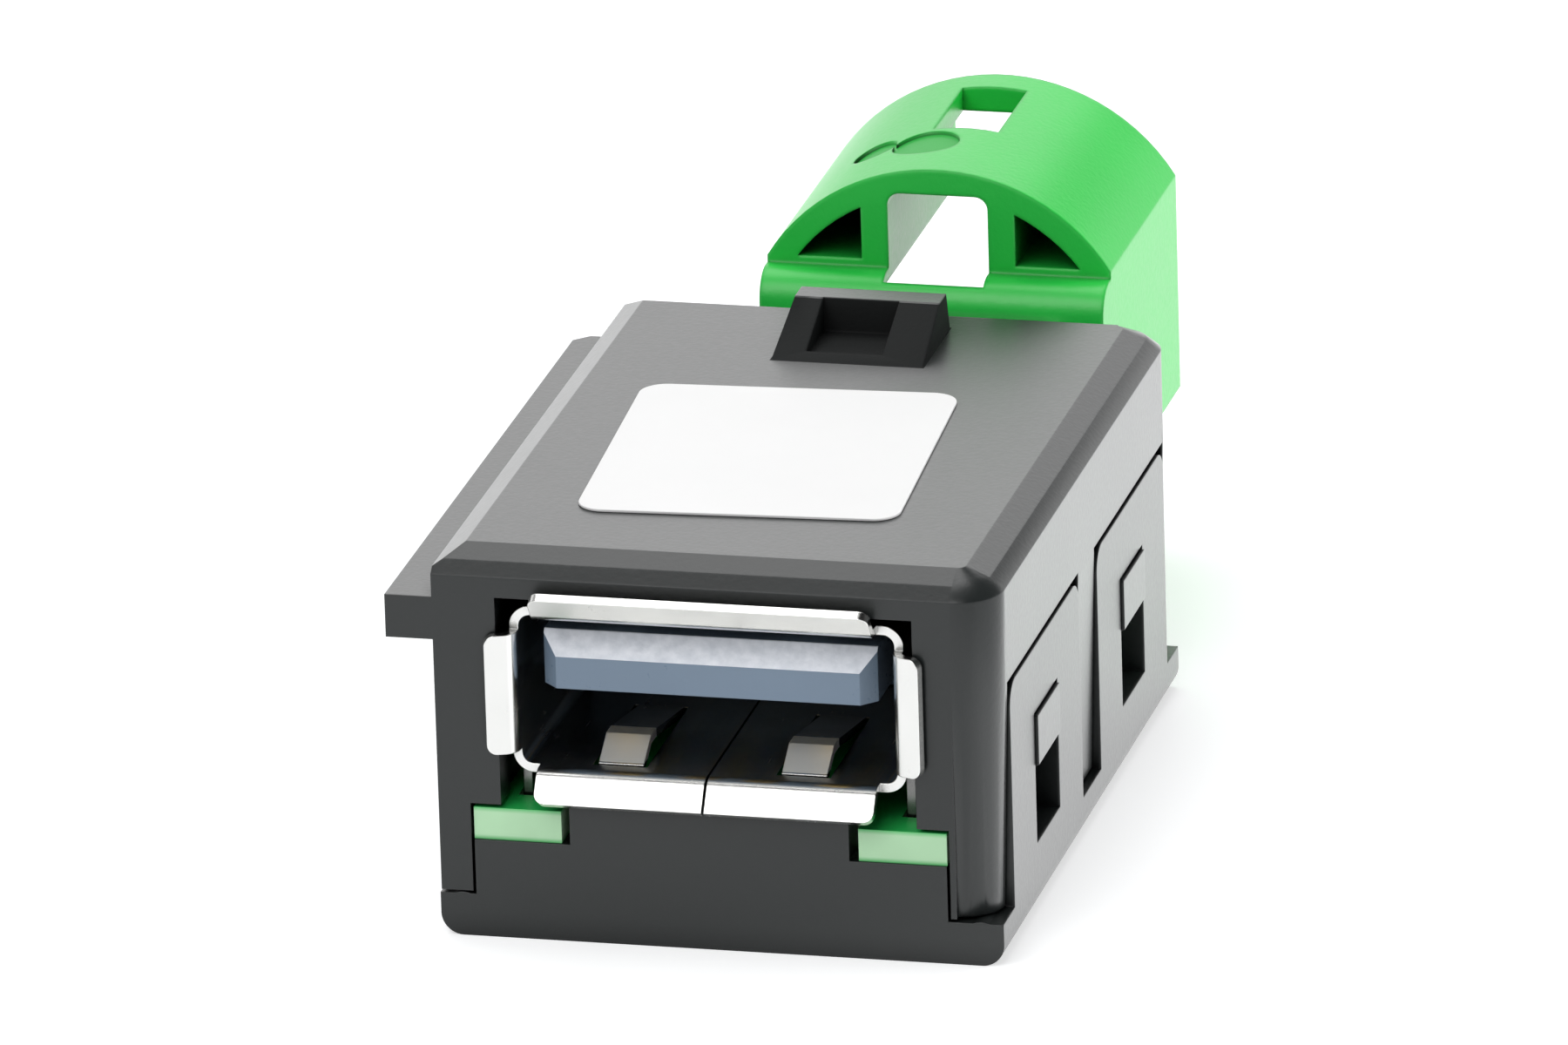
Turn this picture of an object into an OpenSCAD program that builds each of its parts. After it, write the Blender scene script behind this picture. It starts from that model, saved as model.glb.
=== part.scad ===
// Car USB socket: a snap-together black housing around a small circuit board, with a
// USB type A receptacle at the front and a shrouded round connector at the rear.
// Millimetres. X runs to the right seen from the front, Y to the rear and Z up.
// The origin is the middle of the housing's underside.

/* [Housing] */
// Width over the side walls
body_w = 18.7; // [18.4:0.1:24]
// Depth of the cover, front to rear
body_d = 26.3; // [25.6:0.1:34]
// Height from the underside to the top face
body_h = 13.2; // [13:0.1:17]
// Width of the bevel along the top's left edge
bevel_w = 0.9; // [0.3:0.05:0.95]
// Height of the bevel along the top's left edge
bevel_h = 0.55; // [0.3:0.05:0.6]
// Width of the bevel along the top's front and right edges
edge_w = 1.25; // [0.9:0.05:1.4]
// Height of the bevel along the top's front and right edges
edge_h = 0.75; // [0.5:0.05:0.9]
// Width of the bevel along the top's rear edge
rear_bevel = 1.15; // [1:0.05:1.4]
// Radius of the two upright corners on the right
corner_r = 1.5; // [1.5:0.1:2.2]
// How far the right wall draws in from the tongues' tops down to the base plate
wall_draw = 0.25; // [0:0.05:0.3]
// Thickness of the side walls, snap tongues included
side_wall = 1.7; // [1.5:0.05:2.1]
// Thickness of the cover's top
top_wall = 1.1; // [0.8:0.05:1.2]
// Thickness of the front wall
front_wall = 1.3; // [1:0.05:1.8]
// Thickness of the rear wall
rear_wall = 1.2; // [1:0.05:1.8]
// Thickness of the base plate
base_t = 1.45; // [1.2:0.05:1.8]
// Step by which the base plate stands out past the cover at each side
base_step = 0.04; // [0.02:0.02:0.2]
// Radius along the lower side edges of the base plate
base_edge_r = 0.75; // [0.3:0.05:1]
// Width of the left leg of the cover's front wall
left_leg_w = 1.07; // [0.9:0.01:1.4]
// Seam between cover and base
seam = 0.1; // [0.05:0.01:0.15]

/* [Snap tongues] */
// Thickness of a tongue
tongue_t = 0.85; // [0.6:0.05:0.95]
// Distance from the top face down to a tongue's top
tongue_drop = 4.1; // [3.3:0.1:4.4]
// Radius of a tongue's upper corners
tongue_r = 0.8; // [0.3:0.1:1.5]
// Gap around a tongue
tongue_gap = 0.15; // [0.1:0.05:0.3]
// Width of the cover's pillar between two tongues
pillar_w = 2.4; // [1.8:0.1:4]
// Width of the window in a tongue
window_w = 3.4; // [2.4:0.1:5]
// Height of the window's lower edge above the underside
window_z = 2.4; // [2:0.1:3]
// Height of the window
window_h = 4.5; // [3.6:0.1:5.4]
// Height of the nub that catches in the window
nub_h = 2.2; // [1.2:0.05:2.4]
// Clearance between nub and window
nub_gap = 0.12; // [0.05:0.01:0.2]
// How far the nub stands out past the tongue
nub_out = 0.1; // [0:0.02:0.2]

/* [Rail and top catch] */
// How far the guide rail stands out from the left wall
rail_out = 1.57; // [0.8:0.01:2.4]
// Distance from the top face down to the guide rail's upper face
rail_drop = 1.53; // [1.2:0.01:2]
// Thickness of the guide rail
rail_t = 1.47; // [1:0.01:1.8]
// Distance from the rear face to the rail's end
rail_short = 0.7; // [0.5:0.1:4]
// Lead-in bevel at the rail's end
rail_lead = 0.5; // [0.2:0.05:0.8]
// Sideways offset of the catch from the housing's middle
catch_x = -0.2; // [-0.5:0.05:0.5]
// Width of the catch at its foot
catch_w = 5.15; // [4.4:0.05:7]
// Length of the catch along the housing
catch_len = 4.05; // [3.4:0.05:6]
// Height of the catch above the top face
catch_h = 1.2; // [0.8:0.05:1.8]
// Length of the flat land at the catch's top
catch_land = 0.95; // [0.7:0.05:1.4]
// Draw of each side of the catch, foot to top
catch_draft = 0.1; // [0.05:0.05:0.5]
// Distance from the rear face to the back of the catch
catch_rear = 2.3; // [1.6:0.05:4]
// Width of the pocket in the catch
pocket_w = 2.6; // [2:0.05:3]
// Sideways offset of the pocket from the catch's middle
pocket_x = -0.2; // [-0.4:0.05:0.4]
// Distance from the catch's foot to the pocket
pocket_lip = 0.5; // [0.2:0.05:1]

/* [Label] */
// Width of the label
label_w = 10.65; // [6:0.05:13]
// Length of the label
label_l = 12.3; // [6:0.1:14]
// Thickness of the label
label_t = 0.1; // [0.06:0.01:0.2]
// Corner radius of the label
label_r = 0.9; // [0.3:0.1:2]
// Turn of the label, in degrees
label_turn = 3.2; // [-5:0.1:5]
// Sideways offset of the label's middle
label_x = -0.7; // [-1.5:0.1:1.5]
// Place of the label's middle between the front face and the catch, as a share
label_share = 0.55; // [0.45:0.01:0.58]

/* [Circuit board] */
// Thickness of the board
board_t = 1.1; // [0.8:0.1:1.6]
// Clearance between board and side walls
board_gap = 0.1; // [0.05:0.01:0.2]
// Distance of the board ears behind the front face
ear_back = 0.1; // [0.05:0.05:0.4]
// Width of the supports under the board
support_w = 1; // [0.6:0.1:1.4]

/* [USB receptacle] */
// Inside width of the shell
port_w = 12.5; // [12.4:0.05:12.6]
// Inside height of the shell
port_h = 5.12; // [5:0.02:5.2]
// Sheet thickness of the shell
shell_t = 0.3; // [0.2:0.05:0.35]
// Outside corner radius of the shell
shell_r = 0.7; // [0.5:0.05:0.9]
// Length of the shell behind its flared front
shell_len = 13.6; // [12.5:0.1:14]
// Distance from the top face down to the port's axis
port_drop = 4.68; // [4.6:0.01:5]
// Height of the shell above the board
port_lift = 1.21; // [0.9:0.01:1.4]
// Sideways place of the port, as a share of the room beside its shell
port_share = -0.3; // [-0.5:0.05:0.5]
// Distance of the flare's bend in front of the front face
flare_front = 0.15; // [0.15:0.01:0.4]
// Length of the upper and lower flared tabs
tab_len = 1.15; // [0.9:0.05:1.5]
// Angle of the upper and lower tabs from the port's axis
tab_angle = 55; // [40:1:65]
// Width of the upper and lower tabs
tab_w = 11.3; // [9:0.1:11.6]
// Length of the side tabs
side_tab_len = 1; // [0.7:0.05:1.2]
// Angle of the side tabs from the port's axis
side_tab_angle = 70; // [60:1:75]
// Height of the side tabs
side_tab_w = 4.1; // [3:0.1:4.4]
// Corner radius of the tabs
tab_r = 0.35; // [0.1:0.05:0.5]
// Radius of the bend between the shell and a tab
bend_r = 0.25; // [0.1:0.01:0.3]
// Clearance between the shell and the front opening
port_gap = 0.37; // [0.3:0.01:0.5]
// Width of a spring finger
finger_w = 1.5; // [1:0.1:2]
// Sideways distance of a spring finger from the port's middle
finger_x = 3.05; // [2.6:0.05:3.4]
// How far a spring finger of the floor reaches into the port
floor_rise = 0.66; // [0.2:0.02:0.8]
// How far a spring finger of the roof reaches into the port
roof_rise = 0.42; // [0.2:0.02:0.5]
// Width of the contact blade
blade_w = 11.1; // [10.8:0.05:11.3]
// Thickness of the contact blade
blade_t = 1.84; // [1.7:0.02:1.9]
// Gap between the shell's roof and the blade
blade_drop = 0.66; // [0.55:0.01:0.8]
// Distance of the blade's end behind the flare's bend
blade_back = 0.6; // [0.4:0.05:1.5]
// Bevel of the blade's two front corners
blade_corner = 0.5; // [0.2:0.05:0.8]
// Width of a contact
contact_w = 1; // [0.8:0.05:1.2]
// Thickness of a contact
contact_t = 0.2; // [0.15:0.01:0.25]

/* [Rear connector] */
// Sideways offset of the connector from the housing's middle
rear_x = 0.6; // [-0.4:0.05:1]
// Width of the shroud
shroud_w = 11.85; // [11:0.05:12.4]
// Height of the shroud's underside above the board
shroud_lift = 1.25; // [0.8:0.05:1.8]
// Height of the shroud's straight side walls
shroud_side_h = 7.37; // [7:0.05:8]
// Rise of the arch over the side walls
arch_rise = 3.57; // [3:0.05:4.2]
// Length of the shroud behind the arch wall
shroud_len = 10.2; // [9.5:0.1:13]
// Wall thickness of the shroud
shroud_wall = 0.85; // [0.8:0.05:1.1]
// Length of the ledge in front of the arch wall
ledge_len = 1.3; // [1.1:0.1:2]
// Radius of the ledge's upper front edge
ledge_r = 1; // [0.5:0.05:1]
// Distance between the housing's rear face and the ledge
ledge_gap = 2.4; // [1.6:0.1:3]
// Width of the keel under the shroud
keel_w = 8.2; // [7.6:0.1:9]
// Depth of the keel below the side walls
keel_drop = 1.05; // [0.9:0.05:1.2]
// Width of the latch channel under the arch
channel_w = 3.46; // [2.8:0.02:3.8]
// Corner radius of the latch channel
channel_r = 0.45; // [0.2:0.05:0.8]
// Thickness of the ribs beside the latch channel
channel_rib = 0.92; // [0.7:0.02:1.1]
// How far the channel runs on into the ledge
notch_len = 0.9; // [0.3:0.05:1]
// Width of the latch window in the arch
latch_w = 2.25; // [1.6:0.05:2.6]
// Length of the latch window
latch_len = 4.4; // [3:0.1:6]
// Distance from the shroud's rear end to the latch window
latch_end = 1.35; // [0.6:0.05:1.5]
// Diameter of the larger of the two plain marks on the arch
mark_d = 2.3; // [1.6:0.1:2.6]
// Depth of the marks
mark_depth = 0.12; // [0.05:0.01:0.2]
// Outside diameter of the shield barrel
barrel_d = 4.6; // [4.4:0.05:4.8]
// Bore of the shield barrel
barrel_bore = 3.8; // [3.6:0.05:4]
// Height of the barrel's axis above the foot of the shroud's side walls
axis_lift = 2.8; // [2.7:0.05:3]
// Free depth of the shroud's mouth behind the barrel
mouth_free = 5.7; // [5:0.1:7]
// Width of the metal body inside the housing
metal_w = 8.6; // [7.6:0.1:9]
// Diameter of a pin
pin_d = 0.5; // [0.4:0.02:0.6]
// Spacing of the pins
pin_pitch = 1.4; // [1.3:0.05:1.5]

/* [Hidden] */
$fn = 64;
// Overlap that lets a cut run clear through a face
over = 1;

// Planes of the housing
front_y = -body_d / 2;
rear_y = body_d / 2;
right_x = body_w / 2;
inner_x = right_x - side_wall;
roof_z = body_h - top_wall;
cover_z = base_t + seam;
rear_bevel_h = 0.62;
// Knee between the two faces of the front and right bevel, as shares of its width and height
knee_in = 0.38;
knee_down = 0.47;
left_leg_x = -right_x + left_leg_w;

// Snap tongues: post, tongue, pillar, tongue, post along each side wall
post_d = corner_r;
tongue_w = (body_d - 2 * post_d - pillar_w - 4 * tongue_gap) / 2;
tongue_ys = [front_y + post_d + tongue_gap, rear_y - post_d - tongue_gap - tongue_w];
tongue_top = body_h - tongue_drop;
recess_d = tongue_t + seam;
nub_top = window_z + window_h - nub_gap;
nub_z = nub_top - nub_h;
nub_x = right_x + base_step + nub_out;
nub_lead = 0.5;

// Rail and label, placed from the top face and from the catch
rail_z = body_h - rail_drop - rail_t;
label_y = label_share * (body_d - catch_rear - catch_len);

// Port, which hangs from the top face, and the board, which hangs from the port
shell_w = port_w + 2 * shell_t;
shell_h = port_h + 2 * shell_t;
port_x = port_share * (inner_x - shell_w / 2);
port_z = body_h - port_drop;
board_top = port_z - shell_h / 2 - port_lift;
board_z = board_top - board_t;

// Flare, opening in the front wall, and the sill under the port
bend_y = front_y - flare_front;
ring_y = bend_y + (bend_r + shell_t) * tan(side_tab_angle / 2) + shell_t / 2;
opening_w = shell_w + 2 * port_gap;
opening_top = port_z + shell_h / 2 + port_gap;
ear_room = 0.15;
sill_w = 9.3;
sill_room = 0.35;
sill_top = port_z - shell_h / 2 - sill_room;
notch_room = 0.3;
ear_over = 0.08;

// Contact blade and contacts
blade_top = port_z + port_h / 2 - blade_drop;
blade_z = blade_top - blade_t;
blade_y = bend_y + blade_back;
blade_bevel_z = 0.75;
blade_bevel_y = 0.6;
block_len = 4.2;
heel_len = 1.2;
block_y = bend_y + shell_len - block_len;
insulator_rear = bend_y + shell_len + heel_len;
insulator_gap = 0.05;
groove_h = 0.3;
groove_gap = 0.08;
contact_inner = 1;
contact_outer = 3.5;
contact_xs = [-contact_outer, -contact_inner, contact_inner, contact_outer];
contact_dip = 0.45;
contact_dip_len = 2.4;
contact_rise_len = 3.2;
contact_leg_gap = 0.1;
contact_leg_y = insulator_rear + contact_leg_gap;

// Shield legs of the shell, and the share of the room under the board that all legs take
shell_leg_w = 1.8;
shell_leg_back = 2.6;
shell_leg_pitch = 7.8;
shell_leg_ys = [bend_y + shell_leg_back, bend_y + shell_leg_back + shell_leg_pitch];
leg_room = 0.15;
leg_share = 0.42;
leg_below = leg_share * (board_z - base_t);

// Spring fingers in the shell's floor and roof
finger_back = 0.9;
finger_peak_len = 1.4;
finger_len = 5.5;
finger_front = bend_y + finger_back;
finger_peak = finger_front + finger_peak_len;
finger_root = finger_front + finger_len;
finger_slot = 0.15;
seam_slot = 0.08;

// Rear connector
ledge_y = rear_y + ledge_gap;
arch_y = ledge_y + ledge_len;
mouth_y = arch_y + shroud_len;
shroud_z = board_top + shroud_lift;
ledge_z = shroud_z + shroud_side_h;
arch_foot = 0.25;
arch_h = arch_rise - arch_foot;
arch_r = (pow(shroud_w / 2, 2) + pow(arch_h, 2)) / (2 * arch_h);
arch_z = ledge_z + arch_rise - arch_r;
shroud_front = 0.8;
tunnel_y = ledge_y + shroud_front;
tunnel_roof = 0.4;
keel_z = shroud_z - keel_drop;
axis_z = shroud_z + axis_lift;
channel_roof = 0.9;
channel_top = ledge_z + arch_rise - channel_roof;
notch_depth = 1.15;
notch_z = ledge_z - notch_depth;
pocket_step = 0.28;
pocket_wall = 1.2;
pocket_floor = ledge_z + pocket_step;
pocket_end = mouth_y - pocket_wall;
barrel_end = mouth_y - mouth_free;
boss_wall = 0.4;
boss_d = barrel_d + 2 * boss_wall;
fit_gap = 0.05;

// Two plain marks on the arch: sideways place and distance behind the arch wall
mark_x = -1.05;
mark_back = 3;
small_mark_d = 1.5;
small_mark_x = -2.9;
small_mark_back = 3.4;

// Metal body of the connector, behind the room for the small parts on the board
parts_room = 3.95;
metal_y = insulator_rear + parts_room;
metal_front = 0.4;
cavity_len = 3.2;
metal_gap = 0.35;
metal_top = roof_z - metal_gap;
metal_opening = 0.25;
dielectric_out = 0.7;
dielectric_y = metal_y + metal_front + cavity_len;
dielectric_end = tunnel_y + dielectric_out;
pin_back = 2;
pin_end = barrel_end - pin_back;
pin_row_back = 0.6;
pin_row_pitch = 1.6;
pin_front = metal_y + metal_front + pin_row_back;
pin_bends = [pin_front, pin_front + pin_row_pitch];
pin_slot = 0.9;
pin_slot_roof = 0.7;
metal_leg_d = 1;
metal_leg_in = 0.9;
metal_leg_front = 1;
metal_leg_rear = 1.6;
metal_leg_x = metal_w / 2 - metal_leg_in;
metal_leg_ys = [metal_y + metal_leg_front, rear_y - rear_wall - metal_leg_rear];

// Supports of the board, between the legs that pass through it
support_in = 1.2;
support_front = 6.5;
support_back = 1.4;
support_xs = [-inner_x + support_in, inner_x - support_in];
support_ys = [bend_y + support_front, insulator_rear + support_back, rear_y - rear_wall - support_back];
board_rear = rear_y - rear_wall - board_gap;

// Small parts on the board, between the receptacle and the connector
parts_y = (contact_leg_y + contact_t + metal_y) / 2;
terminal_l = 0.3;
chip_x = -3;
chip_l = 2.9;
chip_w = 1.3;
chip_h = 1;
chip_lift = 0.1;
lead_pitch = 0.95;
lead_w = 0.35;
lead_l = 0.5;
lead_h = 0.4;
choke_x = 1;
ferrite_x = 4.4;
part_l = 2;
part_w = 1.25;
choke_h = 1.2;
ferrite_h = 0.9;
cap_l = 1.6;
cap_w = 0.8;
cap_gap = 0.8;
cap_pitch = 1.4;

// A flat plate with rounded corners, drawn about its middle
module rounded_rect(w, l, r) {
    square([w - 2 * r, l], center = true);
    square([w, l - 2 * r], center = true);
    for (sx = [-1, 1], sy = [-1, 1])
        translate([sx * (w / 2 - r), sy * (l / 2 - r)])
            circle(r);
}

// Draws a flat shape, given as X and Z, from y0 to y1
module along_y(y0, y1) {
    translate([0, y1, 0])
        rotate([90, 0, 0])
            linear_extrude(y1 - y0)
                children();
}

// Draws a flat shape, given as Y and Z, from x0 to x1
module along_x(x0, x1) {
    translate([x0, 0, 0])
        rotate([90, 0, 90])
            linear_extrude(x1 - x0)
                children();
}

// A box between two corners
module box(low, high) {
    translate(low)
        cube(high - low);
}

// Section of the cover's right-hand edge, from its corner axis outwards
module edge_section() {
    polygon([[0, cover_z], [corner_r - wall_draw, cover_z], [corner_r, tongue_top],
        [corner_r, body_h - edge_h], [corner_r - knee_in * edge_w, body_h - knee_down * edge_h],
        [corner_r - edge_w, body_h], [0, body_h]]);
}

// Outer form of the cover: square on the left, with two round corners on the right
module cover_form() {
    inset_x = right_x - corner_r;
    difference() {
        union() {
            along_x(-right_x, inset_x)
                polygon([[front_y, cover_z], [rear_y, cover_z], [rear_y, body_h],
                    [front_y + edge_w, body_h],
                    [front_y + knee_in * edge_w, body_h - knee_down * edge_h],
                    [front_y, body_h - edge_h]]);
            along_y(front_y + corner_r, rear_y - corner_r)
                translate([inset_x, 0])
                    edge_section();
            translate([inset_x, front_y + corner_r, 0])
                rotate([0, 0, -90])
                    rotate_extrude(angle = 90)
                        edge_section();
            translate([inset_x, rear_y - corner_r, 0])
                rotate_extrude(angle = 90)
                    edge_section();
        }
        // Bevels along the left edge and the wider one along the rear edge
        along_y(front_y - over, rear_y + over)
            polygon([[-right_x, body_h - bevel_h], [-right_x + bevel_w, body_h],
                [-right_x, body_h + over], [-right_x - over, body_h],
                [-right_x - over, body_h - bevel_h]]);
        along_x(-right_x - over, right_x + over)
            polygon([[rear_y, body_h - rear_bevel_h], [rear_y + over, body_h - rear_bevel_h],
                [rear_y + over, body_h + over], [rear_y, body_h + over], [rear_y - rear_bevel, body_h]]);
    }
}

// Catch on the cover's top: a ramp that rises to the rear, drafted at the sides
module catch_form() {
    back = rear_y - catch_rear;
    front = back - catch_len;
    top = body_h + catch_h;
    translate([catch_x, 0, 0])
        intersection() {
            along_x(-catch_w / 2, catch_w / 2)
                polygon([[front, body_h - top_wall / 2], [back, body_h - top_wall / 2], [back, top],
                    [back - catch_land, top], [front, body_h]]);
            along_y(front - over, back + over)
                polygon([[-catch_w / 2, body_h - top_wall], [catch_w / 2, body_h - top_wall],
                    [catch_w / 2, body_h], [catch_w / 2 - catch_draft, top],
                    [-catch_w / 2 + catch_draft, top], [-catch_w / 2, body_h]]);
        }
}

// Pocket between the two ribs of the catch, closed at the rear by its land
module catch_pocket() {
    back = rear_y - catch_rear - catch_land;
    front = rear_y - catch_rear - catch_len;
    middle = catch_x + pocket_x;
    box([middle - pocket_w / 2, front + pocket_lip, body_h],
        [middle + pocket_w / 2, back, body_h + catch_h + over]);
}

// Rail along the left wall that guides the housing into its carrier
module guide_rail() {
    length = body_d - rail_short;
    translate([-right_x, front_y, rail_z])
        linear_extrude(rail_t)
            polygon([[-rail_out, 0], [side_wall / 2, 0], [side_wall / 2, length],
                [-rail_out + rail_lead, length], [-rail_out, length - rail_lead]]);
}

// Nub that catches in a tongue's window, with a lead-in on its lower side
module nub(y) {
    wall_x = right_x - recess_d;
    along_y(y - window_w / 2 + nub_gap, y + window_w / 2 - nub_gap)
        polygon([[wall_x - side_wall / 4, nub_z], [wall_x, nub_z],
            [nub_x, nub_z + nub_lead], [nub_x, nub_top], [wall_x - side_wall / 4, nub_top]]);
}

// Recess in the right wall for a tongue, with the relief hole below its nub
module tongue_recess(y0) {
    middle = y0 + tongue_w / 2;
    box([right_x - recess_d, y0 - tongue_gap, 0],
        [right_x + over, y0 + tongue_w + tongue_gap, tongue_top + tongue_gap]);
    box([inner_x - over, middle - window_w / 2 + nub_gap, window_z],
        [right_x, middle + window_w / 2 - nub_gap, nub_z]);
}

// Front and rear openings of the cover
module cover_openings() {
    box([port_x - opening_w / 2, front_y - over, 0],
        [port_x + opening_w / 2, front_y + front_wall + over, opening_top]);
    box([left_leg_x, front_y - over, 0],
        [inner_x, front_y + front_wall + over, board_top + ear_room]);
    box([rear_x - metal_w / 2 - metal_opening, rear_y - rear_wall - over, 0],
        [rear_x + metal_w / 2 + metal_opening, rear_y + over, roof_z]);
}

module upper_housing() color([0.16, 0.17, 0.17]) {
    difference() {
        union() {
            cover_form();
            guide_rail();
            catch_form();
        }
        box([-inner_x, front_y + front_wall, 0], [inner_x, rear_y - rear_wall, roof_z]);
        cover_openings();
        catch_pocket();
        for (y0 = tongue_ys, side = [0, 1])
            mirror([side, 0, 0])
                tongue_recess(y0);
    }
    for (y0 = tongue_ys, side = [0, 1])
        mirror([side, 0, 0])
            nub(y0 + tongue_w / 2);
}

// Base plate with round lower side edges
module base_plate() {
    half = right_x + base_step;
    along_y(front_y, rear_y + base_step) {
        translate([-half, base_edge_r])
            square([2 * half, base_t - base_edge_r]);
        translate([-half + base_edge_r, 0])
            square([2 * (half - base_edge_r), base_edge_r]);
        for (side = [-1, 1])
            translate([side * (half - base_edge_r), base_edge_r])
                circle(base_edge_r);
    }
}

// Snap tongue on the right side, rising from the base plate
module tongue(y0) {
    middle = y0 + tongue_w / 2;
    along_x(right_x - tongue_t, right_x + base_step)
        difference() {
            union() {
                translate([y0, base_t / 2])
                    square([tongue_w, tongue_top - tongue_r - base_t / 2]);
                translate([y0 + tongue_r, tongue_top - 2 * tongue_r])
                    square([tongue_w - 2 * tongue_r, 2 * tongue_r]);
                for (y = [y0 + tongue_r, y0 + tongue_w - tongue_r])
                    translate([y, tongue_top - tongue_r])
                        circle(tongue_r);
            }
            translate([middle - window_w / 2, window_z])
                square([window_w, window_h]);
        }
}

module lower_housing() color([0.15, 0.16, 0.16]) {
    base_plate();
    for (y0 = tongue_ys, side = [0, 1])
        mirror([side, 0, 0])
            tongue(y0);
    // Front wall with the seats of the board's ears, and the sill under the port
    box([left_leg_x + seam, front_y, base_t / 2], [inner_x - seam, front_y + front_wall, board_z]);
    box([port_x - sill_w / 2, front_y, base_t / 2], [port_x + sill_w / 2, front_y + front_wall, sill_top]);
    // Rear wall that closes the cover's rear opening below the connector
    box([rear_x - metal_w / 2 - metal_opening + seam, rear_y - rear_wall, base_t / 2],
        [rear_x + metal_w / 2 + metal_opening - seam, rear_y, board_top - seam]);
    for (x = support_xs, y = support_ys)
        box([x - support_w / 2, y - support_w / 2, base_t / 2],
            [x + support_w / 2, y + support_w / 2, board_z]);
}

// Outline of the board: the main part and the two ears through the front wall
module board_outline() {
    main_x = inner_x - board_gap;
    main_y = front_y + front_wall + board_gap;
    notch = sill_w / 2 + notch_room;
    translate([-main_x, main_y])
        square([2 * main_x, board_rear - main_y]);
    translate([left_leg_x + ear_over, front_y + ear_back])
        square([port_x - notch - left_leg_x - ear_over, front_wall - ear_back]);
    translate([-main_x, front_y + ear_back])
        square([port_x - notch + main_x, front_wall + over]);
    translate([port_x + notch, front_y + ear_back])
        square([main_x - port_x - notch, front_wall + over]);
}

module circuit_board() color([0.25, 0.62, 0.3])
    translate([0, 0, board_z])
        linear_extrude(board_t)
            difference() {
                board_outline();
                for (side = [-1, 1], y = shell_leg_ys)
                    translate([port_x + side * (shell_w - shell_t) / 2, y])
                        square([shell_t + 2 * leg_room, shell_leg_w + 2 * leg_room], center = true);
                for (x = contact_xs)
                    translate([port_x + x, contact_leg_y + contact_t / 2])
                        circle(d = contact_w + leg_room);
                for (side = [-1, 1], y = metal_leg_ys)
                    translate([rear_x + side * metal_leg_x, y])
                        circle(d = metal_leg_d + 2 * leg_room);
                for (side = [-1, 1], y = pin_bends)
                    translate([rear_x + side * pin_pitch / 2, y])
                        circle(d = pin_d + 2 * leg_room);
            }

// Section of the port: a rectangle with round corners, grown by d on each side
module port_section(d) {
    translate([port_x, port_z])
        rounded_rect(port_w + 2 * d, port_h + 2 * d, shell_r - shell_t + d);
}

// Section of a flared tab, given as Y and Z: a strip of the wall, a round bend, and a plate
// that leans out. Its length l counts from the sharp corner that the bend rounds off
module tab_section(l, angle) {
    outer_r = bend_r + shell_t;
    setback = outer_r * tan(angle / 2);
    reach = 2 * outer_r;
    translate([setback, 0])
        square([ring_y - bend_y - setback + shell_t, shell_t]);
    translate([setback, outer_r])
        intersection() {
            difference() {
                circle(outer_r);
                circle(bend_r);
            }
            polygon([[0, 0], [0, -reach], [-reach * sin(angle / 2), -reach * cos(angle / 2)],
                [-reach * sin(angle), -reach * cos(angle)]]);
        }
    rotate(180 - angle)
        translate([setback, -shell_t])
            square([l - setback, shell_t]);
}

// Flared tab drawn at the origin with round outer corners: its bend runs along X
module tab(w, l, angle) {
    intersection() {
        along_x(-w / 2, w / 2)
            tab_section(l, angle);
        rotate([180 - angle, 0, 0])
            translate([0, 0, -over])
                linear_extrude(2 * over) {
                    translate([-w / 2, -over])
                        square([w, l - tab_r + over]);
                    translate([-w / 2 + tab_r, -over])
                        square([w - 2 * tab_r, l + over]);
                    for (side = [-1, 1])
                        translate([side * (w / 2 - tab_r), l - tab_r])
                            circle(tab_r);
                }
    }
}

// Spring finger in the floor, drawn about the port's middle: rises to a peak behind the mouth
module finger(rise) {
    floor_z = -port_h / 2;
    along_x(-finger_w / 2, finger_w / 2)
        polygon([[finger_front, floor_z - shell_t], [finger_front, floor_z],
            [finger_peak - shell_t, floor_z + rise], [finger_peak + shell_t, floor_z + rise],
            [finger_root, floor_z], [finger_root, floor_z - shell_t],
            [finger_peak + shell_t, floor_z + rise - shell_t],
            [finger_peak - shell_t, floor_z + rise - shell_t]]);
}

// Slot around a spring finger
module finger_cut() {
    box([-finger_w / 2 - finger_slot, finger_front - finger_slot, -port_h / 2 - shell_t - over],
        [finger_w / 2 + finger_slot, finger_root, -port_h / 2 + shell_t]);
}

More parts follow.
